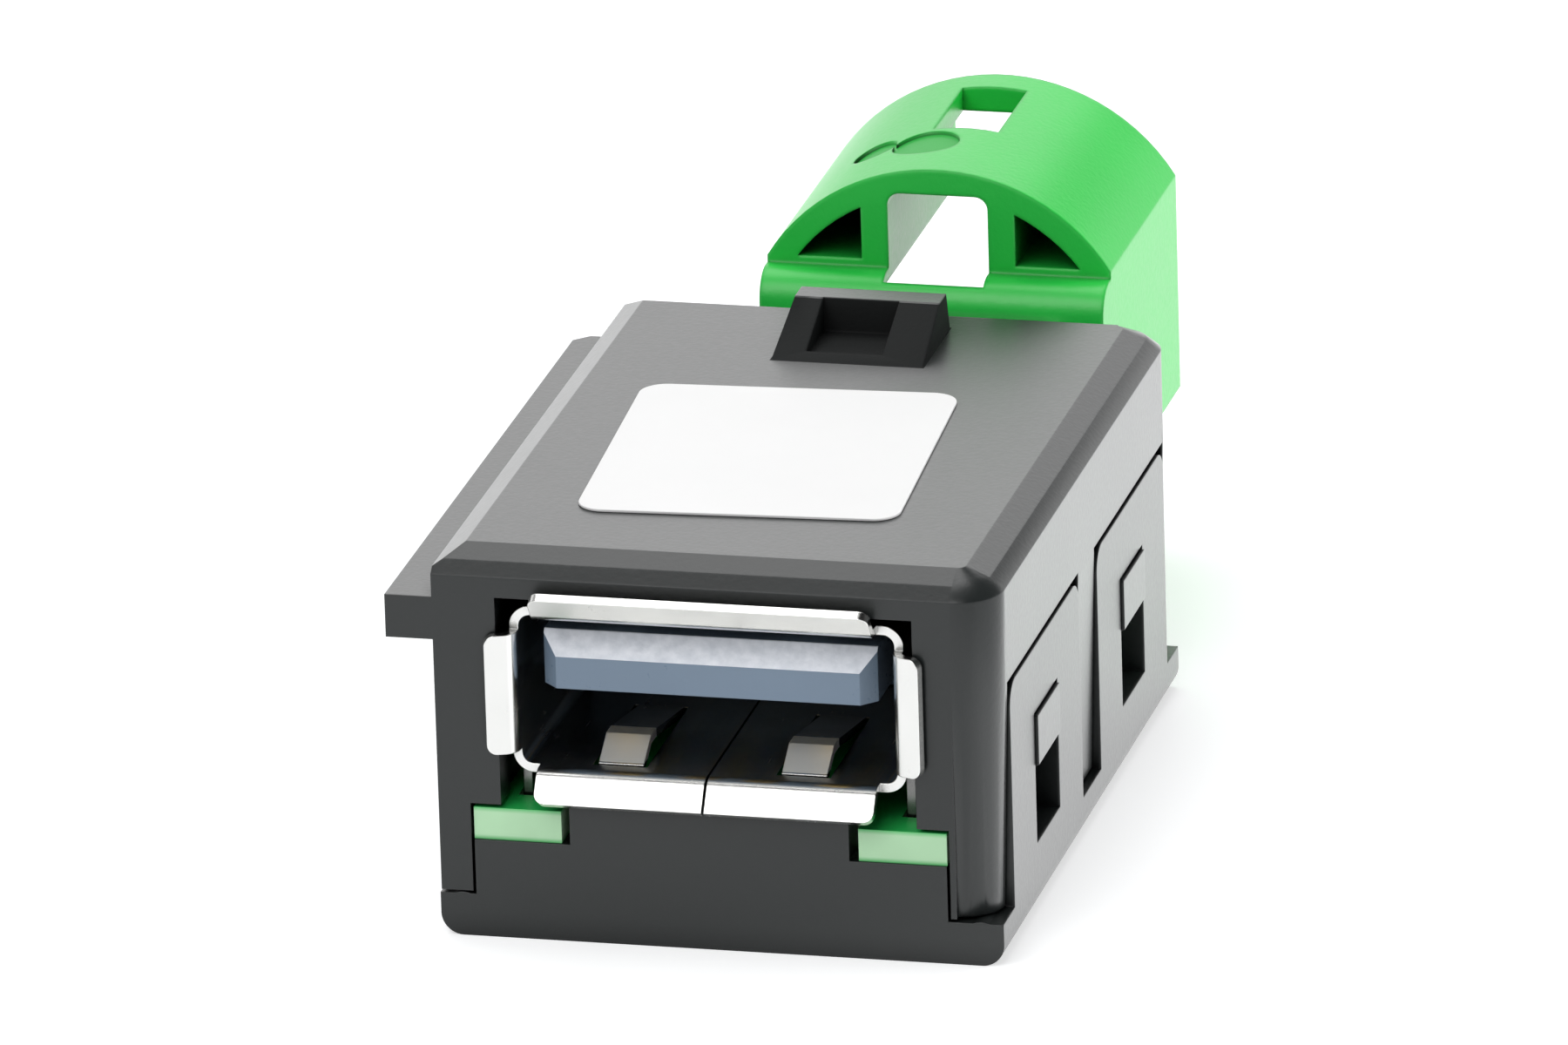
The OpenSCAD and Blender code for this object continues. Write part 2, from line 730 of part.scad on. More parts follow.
module usb_shell() color([0.86, 0.86, 0.84]) {
    difference() {
        union() {
            along_y(ring_y, bend_y + shell_len)
                difference() {
                    port_section(shell_t);
                    port_section(0);
                }
            for (turn = [0, 180])
                translate([port_x, bend_y, port_z])
                    rotate([0, turn, 0])
                        translate([0, 0, port_h / 2])
                            tab(tab_w, tab_len, tab_angle);
            for (turn = [90, -90])
                translate([port_x, bend_y, port_z])
                    rotate([0, turn, 0])
                        translate([0, 0, port_w / 2])
                            tab(side_tab_w, side_tab_len, side_tab_angle);
        }
        for (x = [-finger_x, finger_x], turn = [0, 180])
            translate([port_x, 0, port_z])
                rotate([0, turn, 0])
                    translate([x, 0, 0])
                        finger_cut();
        // Butt seam of the folded sheet along the floor
        box([port_x - seam_slot / 2, bend_y - tab_len - over, port_z - port_h],
            [port_x + seam_slot / 2, bend_y + shell_len + over, port_z - port_h / 4]);
    }
    for (x = [-finger_x, finger_x], turn = [0, 180])
        translate([port_x, 0, port_z])
            rotate([0, turn, 0])
                translate([x, 0, 0])
                    finger(turn == 0 ? floor_rise : roof_rise);
    for (side = [-1, 1], y = shell_leg_ys)
        translate([port_x + side * (shell_w - shell_t) / 2, y, 0])
            box([-shell_t / 2, -shell_leg_w / 2, board_z - leg_below],
                [shell_t / 2, shell_leg_w / 2, port_z]);
}

module usb_insulator() color([0.55, 0.6, 0.68])
    difference() {
        union() {
            // Contact blade with its bevelled front edge and corners
            intersection() {
                along_x(port_x - blade_w / 2, port_x + blade_w / 2)
                    polygon([[blade_y, blade_z], [block_y + over, blade_z], [block_y + over, blade_top],
                        [blade_y + blade_bevel_y, blade_top], [blade_y, blade_top - blade_bevel_z]]);
                translate([port_x, blade_y, blade_z - over])
                    linear_extrude(blade_t + 2 * over)
                        polygon([[-blade_w / 2 + blade_corner, 0], [blade_w / 2 - blade_corner, 0],
                            [blade_w / 2, blade_corner], [blade_w / 2, shell_len],
                            [-blade_w / 2, shell_len], [-blade_w / 2, blade_corner]]);
            }
            // Block that closes the shell, and its foot on the board
            along_y(block_y, insulator_rear)
                port_section(-insulator_gap);
            box([port_x - port_w / 2 + insulator_gap, bend_y + shell_len + insulator_gap, board_top],
                [port_x + port_w / 2 - insulator_gap, insulator_rear, port_z]);
        }
        for (x = contact_xs)
            box([port_x + x - contact_w / 2 - groove_gap, blade_y + blade_bevel_y, blade_z - groove_gap],
                [port_x + x + contact_w / 2 + groove_gap, insulator_rear + over, blade_z + groove_h]);
    }

// Spring contact on the blade's underside, which runs to the rear and down through the board
module usb_contact(x) color([0.85, 0.68, 0.3]) {
    top = blade_z + groove_h;
    tip_y = blade_y + blade_bevel_y + groove_gap;
    dip_y = tip_y + contact_dip_len;
    level_y = dip_y + contact_rise_len;
    turn_y = contact_leg_y + contact_t;
    along_x(port_x + x - contact_w / 2, port_x + x + contact_w / 2)
        polygon([[tip_y, top - contact_t], [tip_y, top], [dip_y, top - contact_dip], [level_y, top],
            [turn_y, top], [turn_y, top - contact_t], [level_y, top - contact_t],
            [dip_y, top - contact_dip - contact_t]]);
    box([port_x + x - contact_w / 2, contact_leg_y, board_top],
        [port_x + x + contact_w / 2, turn_y, top]);
    box([port_x + x - contact_w / 4, contact_leg_y, board_z - leg_below],
        [port_x + x + contact_w / 4, turn_y, top]);
}

// Half-round of the arch, drawn about the connector's middle and shrunk by d, above height z
module arch_section(d, z) {
    intersection() {
        translate([0, arch_z])
            circle(arch_r - d, $fn = 96);
        translate([-shroud_w / 2, z])
            square([shroud_w, arch_rise + arch_r]);
    }
}

// Hollows of the shroud: the tunnel, the latch channel, its window and the two side pockets
module shroud_hollows() {
    tunnel_w = shroud_w - 2 * shroud_wall;
    tunnel_low = shroud_z + shroud_wall;
    tunnel_high = ledge_z - tunnel_roof;
    side_x = channel_w / 2 + channel_rib;
    along_y(tunnel_y, mouth_y + over) {
        translate([0, (tunnel_low + tunnel_high) / 2])
            rounded_rect(tunnel_w, tunnel_high - tunnel_low, shroud_wall);
        translate([-keel_w / 2 + shroud_wall, keel_z + shroud_wall])
            square([keel_w - 2 * shroud_wall, axis_z - keel_z]);
    }
    along_y(arch_y - notch_len, mouth_y + over)
        translate([0, (notch_z + channel_top) / 2])
            rounded_rect(channel_w, channel_top - notch_z, channel_r);
    box([-latch_w / 2, mouth_y - latch_end - latch_len, ledge_z],
        [latch_w / 2, mouth_y - latch_end, ledge_z + arch_rise + over]);
    for (side = [0, 1])
        mirror([side, 0, 0])
            along_y(arch_y - over, pocket_end)
                intersection() {
                    arch_section(shroud_wall, pocket_floor);
                    translate([side_x, pocket_floor])
                        square([shroud_w, arch_rise]);
                }
    along_y(ledge_y - over, tunnel_y + over)
        translate([0, axis_z])
            circle(d = boss_d + 2 * fit_gap);
}

// Round mark sunk into the arch to an even depth
module arch_mark(x, back, d) {
    intersection() {
        along_y(arch_y, mouth_y)
            difference() {
                arch_section(-over, ledge_z);
                arch_section(mark_depth, ledge_z);
            }
        translate([x, arch_y + back, ledge_z])
            cylinder(d = d, h = arch_rise + over);
    }
}

// Body of the shroud below the arch: the block with its round front edge, and the keel
module shroud_block() {
    along_x(-shroud_w / 2, shroud_w / 2) {
        translate([ledge_y, shroud_z])
            square([mouth_y - ledge_y, shroud_side_h - ledge_r]);
        translate([ledge_y + ledge_r, shroud_z])
            square([mouth_y - ledge_y - ledge_r, shroud_side_h]);
        translate([ledge_y + ledge_r, ledge_z - ledge_r])
            circle(ledge_r);
    }
    along_y(ledge_y, mouth_y)
        translate([-keel_w / 2, keel_z])
            square([keel_w, keel_drop + shroud_wall]);
}

module connector_shroud() color([0.2, 0.72, 0.27])
    translate([rear_x, 0, 0])
        difference() {
            union() {
                shroud_block();
                along_y(arch_y, mouth_y)
                    arch_section(0, ledge_z - over);
            }
            shroud_hollows();
            arch_mark(mark_x, mark_back, mark_d);
            arch_mark(small_mark_x, small_mark_back, small_mark_d);
        }

module connector_body() color([0.74, 0.75, 0.76])
    translate([rear_x, 0, 0])
        difference() {
            union() {
                box([-metal_w / 2, metal_y, board_top], [metal_w / 2, ledge_y, metal_top]);
                along_y(ledge_y - over, tunnel_y)
                    translate([0, axis_z])
                        circle(d = boss_d);
                along_y(ledge_y - over, barrel_end)
                    translate([0, axis_z])
                        circle(d = barrel_d);
                for (side = [-1, 1], y = metal_leg_ys)
                    translate([side * metal_leg_x, y, board_z - leg_below])
                        cylinder(d = metal_leg_d, h = board_t + leg_below + over);
            }
            along_y(metal_y + metal_front + over, barrel_end + over)
                translate([0, axis_z])
                    circle(d = barrel_bore);
            box([-pin_pitch / 2 - pin_slot, metal_y + metal_front, board_top - over],
                [pin_pitch / 2 + pin_slot, dielectric_y, axis_z + pin_pitch / 2 + pin_slot_roof]);
        }

// Places of the pins in the connector's section: left and right, lower and upper
function pin_x(i) = (i % 2 == 0 ? -1 : 1) * pin_pitch / 2;
function pin_z(i) = axis_z + (i < 2 ? -1 : 1) * pin_pitch / 2;
function pin_bend(i) = pin_bends[i < 2 ? 1 : 0];

module connector_insulator() color([0.9, 0.9, 0.86])
    translate([rear_x, 0, 0])
        along_y(dielectric_y, dielectric_end)
            difference() {
                translate([0, axis_z])
                    circle(d = barrel_bore - 2 * fit_gap);
                for (i = [0:3])
                    translate([pin_x(i), pin_z(i)])
                        circle(d = pin_d + fit_gap);
            }

// Pin that runs forward through the insulator and turns down into the board
module connector_pin(i) color([0.85, 0.68, 0.3])
    translate([rear_x + pin_x(i), pin_bend(i), 0]) {
        translate([0, 0, board_z - leg_below])
            cylinder(d = pin_d, h = pin_z(i) - board_z + leg_below);
        translate([0, 0, pin_z(i)])
            sphere(d = pin_d);
        translate([0, 0, pin_z(i)])
            rotate([-90, 0, 0])
                cylinder(d = pin_d, h = pin_end - pin_bend(i));
    }

// Chip part with two metal end caps, standing on the board
module chip_part(x, y, w, l, h) {
    translate([x, y, board_top]) {
        box([-w / 2 + terminal_l, -l / 2 + seam / 2, seam / 2],
            [w / 2 - terminal_l, l / 2 - seam / 2, h - seam / 2]);
        for (side = [-1, 1])
            translate([side * (w - terminal_l) / 2, 0, h / 2])
                cube([terminal_l, l, h], center = true);
    }
}

module surge_protection_chip() color([0.1, 0.1, 0.11])
    translate([rear_x + chip_x, parts_y, board_top]) {
        box([-chip_l / 2, -chip_w / 2, chip_lift], [chip_l / 2, chip_w / 2, chip_h]);
        for (x = [-lead_pitch, 0, lead_pitch], side = [-1, 1])
            translate([x, side * (chip_w + lead_l - 2 * chip_lift) / 2, lead_h / 2])
                cube([lead_w, lead_l, lead_h], center = true);
    }

module noise_choke() color([0.24, 0.24, 0.26])
    chip_part(rear_x + choke_x, parts_y, part_l, part_w, choke_h);

module supply_ferrite() color([0.3, 0.3, 0.32])
    chip_part(rear_x + ferrite_x, parts_y, part_l, part_w, ferrite_h);

module ceramic_capacitors() color([0.72, 0.62, 0.48])
    for (i = [0:2])
        chip_part(rear_x - metal_w / 2 - cap_gap - cap_l / 2, metal_y + metal_leg_front + i * cap_pitch,
            cap_l, cap_w, cap_w);

module top_label() color([0.97, 0.97, 0.97])
    translate([label_x, front_y + label_y, body_h])
        rotate([0, 0, label_turn])
            linear_extrude(label_t)
                rounded_rect(label_w, label_l, label_r);

upper_housing();
lower_housing();
circuit_board();
usb_shell();
usb_insulator();
usb_contact(contact_xs[0]);  // usb_contact_1
usb_contact(contact_xs[1]);  // usb_contact_2
usb_contact(contact_xs[2]);  // usb_contact_3
usb_contact(contact_xs[3]);  // usb_contact_4
connector_shroud();
connector_body();
connector_insulator();
connector_pin(0);  // connector_pin_1
connector_pin(1);  // connector_pin_2
connector_pin(2);  // connector_pin_3
connector_pin(3);  // connector_pin_4
surge_protection_chip();
noise_choke();
supply_ferrite();
ceramic_capacitors();
top_label();
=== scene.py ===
"""Looks of a car USB socket: finishes and soft edges for its CAD solids, camera and stage."""

import math

import bpy
from bpy.props import FloatProperty, FloatVectorProperty, PointerProperty
from mathutils import Matrix, Vector


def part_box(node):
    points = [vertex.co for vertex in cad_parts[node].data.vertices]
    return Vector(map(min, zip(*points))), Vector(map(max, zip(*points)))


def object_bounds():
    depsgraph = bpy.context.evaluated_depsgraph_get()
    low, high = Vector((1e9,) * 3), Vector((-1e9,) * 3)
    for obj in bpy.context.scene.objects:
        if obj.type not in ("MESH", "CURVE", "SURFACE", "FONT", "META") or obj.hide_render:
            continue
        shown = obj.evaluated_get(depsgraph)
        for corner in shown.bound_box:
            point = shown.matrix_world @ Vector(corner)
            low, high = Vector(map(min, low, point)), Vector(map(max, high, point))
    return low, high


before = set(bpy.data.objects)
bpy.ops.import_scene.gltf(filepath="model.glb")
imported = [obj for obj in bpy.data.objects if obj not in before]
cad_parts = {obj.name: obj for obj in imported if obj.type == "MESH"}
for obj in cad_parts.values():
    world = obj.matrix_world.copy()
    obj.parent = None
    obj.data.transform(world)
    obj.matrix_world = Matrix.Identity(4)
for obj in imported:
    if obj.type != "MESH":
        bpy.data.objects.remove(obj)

bl_info = {
    "name": "Car USB socket",
    "version": (1, 0, 0),
    "blender": (4, 5, 0),
    "location": "View3D > Sidebar > Car socket",
    "description": "Finishes, soft edges, camera and stage of a car USB socket",
    "category": "Object",
}

CAD_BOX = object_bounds()
COLOUR = "NodeSocketColor"
NUMBER = "NodeSocketFloat"
VECTOR = "NodeSocketVector"
WHITE = (1.0, 1.0, 1.0, 1.0)

# Grain, clouds and stains: scales against the grain, ramps of the noise, and strengths
CLOUD_SCALE = 0.03
CLOUD_CONTRAST = 4.0
GLOSS_SWING = 0.12
ROLLING_STRETCH = (1.0, 0.04, 1.0)
STAIN_SCALE = 0.06
STAIN_RAMP = (0.4, 0.75)
STAIN_SHADE = 0.55

# Edges and recesses: ramps of the turned normal and the open share, and the rubbing of edges
EDGE_RAMP = (0.97, 0.75)
RUB_SCALE = 0.35
RUB_RAMP = (0.35, 0.7)
RUB_LEAST = 0.25
WORN_LIFT = 1.8
OPEN_RAMP = (0.15, 0.7)
EFFECT_SAMPLES = 8

# Plastics and board: gloss, patches per metre of the blade's painted highlight, and ramps of the
# upward normal
PLASTIC_IOR = 1.36
PATCH_SCALE = 2500.0
PATCH_RAMP = (0.3, 0.7)
PATCH_LEAST = 0.75
BLADE_RAMP = (0.3, 0.5)
BOARD_RAMP = (0.4, 0.6)
RIM_SHARE = 0.8

# Modifiers that round edges
WELD_DISTANCE = 1e-6
FLAT_ANGLE = math.radians(0.5)
SHARP_ANGLE = math.radians(30)
ROUND_SEGMENTS = 2

# Ramps of the floor in metres, and of the surroundings as parts of a direction
BEHIND_RAMP = (-0.016, 0.005)
BESIDE_RAMP = (0.03, 0.05)
BESIDE_SHARE = 0.3
FAR_RAMP = (0.15, 0.8)
OVERHEAD_RAMP = (0.5, 0.8)
FRONT_RAMP = (-0.3, 0.3)
RIGHT_RAMP = (0.14, 0.28)
HIGH_RAMP = (0.23, 0.3)


# Settings


def colour_property(name, description, default):
    """A colour that a user can change, in linear values."""
    return FloatVectorProperty(
        name=name, description=description, default=default, size=3, min=0, max=1, subtype="COLOR"
    )


def length_property(name, description, default):
    """A length in metres."""
    return FloatProperty(name=name, description=description, default=default, min=0, unit="LENGTH")


def angle_property(name, description, degrees):
    """An angle, given in degrees."""
    return FloatProperty(
        name=name, description=description, default=math.radians(degrees), subtype="ANGLE"
    )


def power_property(name, description, default):
    """The power of a lamp in watts."""
    return FloatProperty(name=name, description=description, default=default, min=0, unit="POWER")


def level_property(name, description, default):
    """A brightness, where 1 is white."""
    return FloatProperty(name=name, description=description, default=default, min=0)


def place_property(name, description, default):
    """A point in metres."""
    return FloatVectorProperty(
        name=name, description=description, default=default, size=3, subtype="TRANSLATION"
    )


def span_property(name, description, default):
    """A width and a height in metres."""
    return FloatVectorProperty(
        name=name, description=description, default=default, size=2, min=0, unit="LENGTH"
    )


class SocketColours(bpy.types.PropertyGroup):
    """Colours of the socket's materials."""

    cover: colour_property("Cover", "Black plastic of the cover", (0.016, 0.019, 0.019))
    base: colour_property("Base", "Black plastic of the base and tongues", (0.015, 0.018, 0.018))
    shroud: colour_property("Shroud", "Green plastic of the connector shroud", (0.02, 0.62, 0.07))
    mask: colour_property("Board", "Solder mask on the board's faces", (0.03, 0.6, 0.12))
    laminate: colour_property("Board edge", "Cut edge of the board", (0.58, 0.92, 0.58))
    tin: colour_property("Shell", "Tin plating of the port's shell", (0.86, 0.86, 0.84))
    blade: colour_property("Blade", "Plastic of the contact blade", (0.2, 0.27, 0.36))
    # The Rubbed blade colour is a painted highlight on the blade's bevelled front
    rubbed: colour_property("Rubbed blade", "Blade where plugs have rubbed it", (0.9, 0.93, 1.0))
    gold: colour_property("Contacts", "Gold plating of contacts and pins", (0.86, 0.62, 0.24))
    casting: colour_property("Casting", "Plated casting of the connector", (0.62, 0.63, 0.64))
    insulator: colour_property("Insulator", "Round insulator in the barrel", (0.78, 0.78, 0.72))
    resin: colour_property("Chip", "Moulded resin of the chip", (0.018, 0.018, 0.02))
    ferrite: colour_property("Ferrite", "Fired body of choke and ferrite", (0.07, 0.07, 0.075))
    ceramic: colour_property("Capacitors", "Fired body of the capacitors", (0.4, 0.28, 0.16))
    caps: colour_property("End caps", "Tinned ends of the small parts", (0.72, 0.72, 0.72))
    paper: colour_property("Label", "Blank label", (0.9, 0.9, 0.9))


class SocketSizes(bpy.types.PropertyGroup):
    """Sizes of the fine detail."""

    housing_round: length_property("Housing edges", "Rounding of the housing's edges", 0.00012)
    shroud_round: length_property("Shroud edges", "Rounding of the shroud's edges", 0.0002)
    metal_round: length_property("Metal edges", "Rounding of sheet and cast edges", 0.00005)
    label_round: length_property("Label edges", "Rounding of the label's edges", 0.00003)
    plastic_grain: length_property("Plastic grain", "Size of the moulded grain", 0.00018)
    metal_grain: length_property("Metal grain", "Spacing of the rolling lines", 0.00009)
    # Reach of the painted shade in the port and in other recesses
    port_reach: length_property("Port depth", "Distance over which the port darkens", 0.005)
    recess_reach: length_property("Recess depth", "Distance over which recesses darken", 0.002)
    mask_rim: length_property("Mask rim", "Solder mask along the board's cut edges", 0.00016)
    # Corners of the zone at the catch that is matt and darkened by painted shade
    catch_low: place_property(
        "Catch low", "Lower corner of the matt zone at the catch", (-0.00283, 0.00675, 0.01315)
    )
    catch_high: place_property(
        "Catch high", "Upper corner of the matt zone at the catch", (0.00243, 0.0109, 0.01437)
    )
    # Corners of the zone on the blade's bevelled front that gets a painted highlight
    blade_highlight_low: place_property(
        "Rub low", "Lower corner of the rubbed zone at the blade", (-0.006, -0.0128, 0.0088)
    )
    blade_highlight_high: place_property(
        "Rub high", "Upper corner of the rubbed zone at the blade", (0.0054, -0.01205, 0.0106)
    )
    # Corners of the zone on the spring fingers that is rougher and kept free of the painted port
    # shade
    scuff_unshaded_low: place_property(
        "Scuff low", "Lower corner of the scuffed zone in the port", (-0.0045, -0.0125, 0.006)
    )
    scuff_unshaded_high: place_property(
        "Scuff high", "Upper corner of the scuffed zone in the port", (0.0038, -0.0106, 0.0068)
    )
    mark_low: place_property(
        "Marks low", "Lower corner of the zone round the marks", (-0.0034, 0.0186, 0.014)
    )
    mark_high: place_property(
        "Marks high", "Upper corner of the zone round the marks", (0.001, 0.0212, 0.017)
    )
    arch_axis: place_property("Arch axis", "Point on the axis of the arch", (0.0006, 0.0, 0.009693))
    mark_radius: length_property(
        "Mark radius", "Distance from the arch's axis to the ground of the marks", 0.006827
    )
    mark_miss: length_property("Mark miss", "How far the ground may be off that radius", 0.00005)


class SocketStage(bpy.types.PropertyGroup):
    """Camera, floor and lights."""

    azimuth: angle_property("Azimuth", "Turn of the camera round the object", 14.05)
    elevation: angle_property("Elevation", "Height of the camera above the horizon", 19.85)
    roll: angle_property("Roll", "Turn of the camera about its own axis", -1.71)
    distance: length_property("Distance", "Distance from the camera to its aim", 0.62)
    focal: FloatProperty(
        name="Focal length", description="Focal length in mm", default=434.0, unit="CAMERA"
    )
    sensor: FloatProperty(
        name="Sensor", description="Width of the sensor in mm", default=36.0, unit="CAMERA"
    )
    aim: place_property("Aim", "Point in the middle of the picture", (-0.00042, -0.00155, 0.01058))
    floor_size: length_property("Floor", "Side of the floor", 3.0)
    floor_tone: colour_property("Floor tone", "Colour of the floor", (0.78, 0.79, 0.8))
    floor_glow: level_property("Floor glow", "White that the floor adds to the eye", 0.5)
    far_glow: level_property("Far glow", "White that the far floor adds to the eye", 0.8)
    front_glow: level_property("Front glow", "White of the floor in front in reflections", 0.3)
    back_glow: level_property("Back glow", "White of the floor behind in reflections", 0.9)
    sky_light: level_property("Sky", "Light of the white surroundings", 0.28)
    ceiling: level_property("Ceiling", "Brightness of the ceiling in reflections", 0.12)
    front_dim: level_property("Front", "Brightness of the front in reflections", 0.4)
    right_dim: level_property("Right", "Brightness of the high right in reflections", 0.05)
    top_place: place_property("Top place", "Middle of the soft box overhead", (-0.1, 0.13, 0.45))
    top_span: span_property("Top span", "Width and height of the soft box overhead", (0.34, 0.34))
    top_power: power_property("Top light", "Power of the soft box overhead", 0.9)
    front_place: place_property(
        "Front place", "Middle of the soft box in front", (-0.084, -0.286, 0.296)
    )
    front_span: span_property(
        "Front span", "Width and height of the soft box in front", (0.32, 0.28)
    )
    front_power: power_property("Front light", "Power of the soft box in front", 0.75)
    side_place: place_property(
        "Side place", "Middle of the soft box on the right", (0.42, 0.08, 0.14)
    )
    side_span: span_property(
        "Side span", "Width and height of the soft box on the right", (0.3, 0.25)
    )
    side_power: power_property("Side light", "Power of the soft box on the right", 1.1)
    back_place: place_property("Back place", "Middle of the soft box behind", (-0.16, 0.62, 0.24))
    back_span: span_property("Back span", "Width and height of the soft box behind", (0.5, 0.2))
    back_power: power_property("Back light", "Power of the soft box behind", 0.2)


class SocketSettings(bpy.types.PropertyGroup):
    """All settings of the socket."""

    colours: PointerProperty(type=SocketColours)
    sizes: PointerProperty(type=SocketSizes)
    stage: PointerProperty(type=SocketStage)


def settings():
    """The settings kept in the scene."""
    return bpy.context.scene.car_socket


# Node helpers


def give(tree, node, inputs):
    """Sets a node's inputs to values, or links them from sockets."""
    for name, value in inputs.items():
        if isinstance(value, bpy.types.NodeSocket):
            tree.links.new(value, node.inputs[name])
        else:
            node.inputs[name].default_value = value
    return node


def add_node(tree, kind, inputs=None, **options):
    """Adds a shader node with options and inputs."""
    node = tree.nodes.new(kind)
    for option, value in options.items():
        setattr(node, option, value)
    return give(tree, node, inputs or {})


def maths(tree, operation, first, second=0.0, clamp=False):
    """Output socket of a Math node."""
    inputs = {0: first, 1: second}
    return add_node(
        tree, "ShaderNodeMath", inputs, operation=operation, use_clamp=clamp
    ).outputs[0]


def vector_maths(tree, operation, first, second=(0.0, 0.0, 0.0)):
    """Outputs Vector and Value of a Vector Math node."""
    inputs = {0: first, 1: second}
    return add_node(tree, "ShaderNodeVectorMath", inputs, operation=operation).outputs


def split_vector(tree, vector):
    """Outputs X, Y and Z of a Separate XYZ node."""
    return add_node(tree, "ShaderNodeSeparateXYZ", {0: vector}).outputs


def remap(tree, value, ramp, to_low=0.0, to_high=1.0):
    """Output socket of a clamped Map Range node."""
    low, high = ramp
    spans = {"Value": value, "From Min": low, "From Max": high, "To Min": to_low, "To Max": to_high}
    return add_node(tree, "ShaderNodeMapRange", spans).outputs[0]


def mix_colours(tree, factor, first, second):
    """Output socket of a colour Mix node."""
    inputs = {0: factor, 6: first, 7: second}
    return add_node(tree, "ShaderNodeMix", inputs, data_type="RGBA").outputs[2]


def mix_numbers(tree, factor, first, second):
    """Output socket of a number Mix node."""
    inputs = {0: factor, 2: first, 3: second}
    return add_node(tree, "ShaderNodeMix", inputs, data_type="FLOAT").outputs[0]


def shaded(tree, colour, shade):
    """Output socket with a colour times a number."""
    inputs = {0: colour, "Scale": shade}
    return add_node(tree, "ShaderNodeVectorMath", inputs, operation="SCALE").outputs[0]


def noise(tree, vector, scale, detail=3.0):
    """Output socket of a Noise node's value."""
    inputs = {"Vector": vector, "Scale": scale, "Detail": detail}
    return add_node(tree, "ShaderNodeTexNoise", inputs).outputs[0]


def object_point(tree):
    """Socket with the point on the object, in metres."""
    return add_node(tree, "ShaderNodeTexCoord").outputs["Object"]


def upward_normal(tree):
    """Socket with the upward part of the face's own normal."""
    return split_vector(tree, add_node(tree, "ShaderNodeNewGeometry").outputs["True Normal"])["Z"]


def opaque(colour):
    """A colour with full alpha."""
    return (*colour, 1.0)


def new_group(name, inputs, outputs):
    """A shader node group with its input and output sockets."""
    tree = bpy.data.node_groups.new(name, "ShaderNodeTree")
    for label, kind, default in inputs:
        socket = tree.interface.new_socket(name=label, in_out="INPUT", socket_type=kind)
        socket.default_value = default
    for label, kind in outputs:
        tree.interface.new_socket(name=label, in_out="OUTPUT", socket_type=kind)
    entry = tree.nodes.new("NodeGroupInput")
    ending = tree.nodes.new("NodeGroupOutput")
    return tree, entry.outputs, ending.inputs


def place_group(tree, group, inputs):
    """Places a node group in a material."""
    return add_node(tree, "ShaderNodeGroup", inputs, node_tree=group).outputs


# Shared effects


def moulded_grain():
    """Group: fine grain, faint clouds and uneven gloss of moulded plastic or fired clay."""
    name = "Moulded grain"
    if name in bpy.data.node_groups:
        return bpy.data.node_groups[name]
    tree, given, result = new_group(
        name,
        [("Colour", COLOUR, (0.5, 0.5, 0.5, 1)), ("Roughness", NUMBER, 0.4),
         ("Grain", NUMBER, 0.0001), ("Clouding", NUMBER, 0.1)],
        [("Colour", COLOUR), ("Roughness", NUMBER), ("Height", NUMBER)],
    )
    point = object_point(tree)
    fine_scale = maths(tree, "DIVIDE", 1.0, given["Grain"])
    cloud_scale = maths(tree, "MULTIPLY", fine_scale, CLOUD_SCALE)
    fine = noise(tree, point, fine_scale)
    cloud = noise(tree, point, cloud_scale, detail=4.0)
    swing = maths(tree, "MULTIPLY", maths(tree, "SUBTRACT", cloud, 0.5), given["Clouding"])
    shade = maths(tree, "ADD", maths(tree, "MULTIPLY", swing, CLOUD_CONTRAST), 1.0)
    gloss = maths(tree, "MULTIPLY", maths(tree, "SUBTRACT", fine, 0.5), GLOSS_SWING)
    rough = maths(tree, "ADD", maths(tree, "ADD", given["Roughness"], gloss), swing, clamp=True)
    tree.links.new(shaded(tree, given["Colour"], shade), result["Colour"])
    tree.links.new(rough, result["Roughness"])
    tree.links.new(fine, result["Height"])
    return tree


def soft_edge():
    """Group: normal that rounds sharp edges off, and mask of the band rubbed pale along them."""
    name = "Soft edge"
    if name in bpy.data.node_groups:
        return bpy.data.node_groups[name]
    tree, given, result = new_group(
        name,
        [("Width", NUMBER, 0.0001), ("Wear", NUMBER, 0.2)],
        [("Normal", VECTOR), ("Mask", NUMBER)],
    )
    rounded = add_node(
        tree, "ShaderNodeBevel", {"Radius": given["Width"]}, samples=EFFECT_SAMPLES
    ).outputs[0]
    flat = add_node(tree, "ShaderNodeNewGeometry").outputs["Normal"]
    facing = vector_maths(tree, "DOT_PRODUCT", rounded, flat)["Value"]
    turned = remap(tree, facing, EDGE_RAMP)
    rub_scale = maths(tree, "DIVIDE", RUB_SCALE, given["Width"])
    rub = remap(tree, noise(tree, object_point(tree), rub_scale, detail=4.0), RUB_RAMP, RUB_LEAST)
    worn = maths(tree, "MULTIPLY", turned, rub)
    mask = maths(tree, "MULTIPLY", worn, given["Wear"], clamp=True)
    tree.links.new(rounded, result["Normal"])
    tree.links.new(mask, result["Mask"])
    return tree


def recess_shade():
    """Group: shade of a recess, 1 in the open and less where walls stand close around."""
    name = "Recess shade"
    if name in bpy.data.node_groups:
        return bpy.data.node_groups[name]
    tree, given, result = new_group(
        name,
        [("Reach", NUMBER, 0.002), ("Depth", NUMBER, 0.5)],
        [("Shade", NUMBER)],
    )
    open_share = add_node(
        tree, "ShaderNodeAmbientOcclusion", {"Distance": given["Reach"]}, samples=EFFECT_SAMPLES
    ).outputs["AO"]
    hidden = remap(tree, open_share, OPEN_RAMP, 1.0, 0.0)
    shade = maths(tree, "SUBTRACT", 1.0, maths(tree, "MULTIPLY", hidden, given["Depth"]))
    tree.links.new(shade, result["Shade"])
    return tree


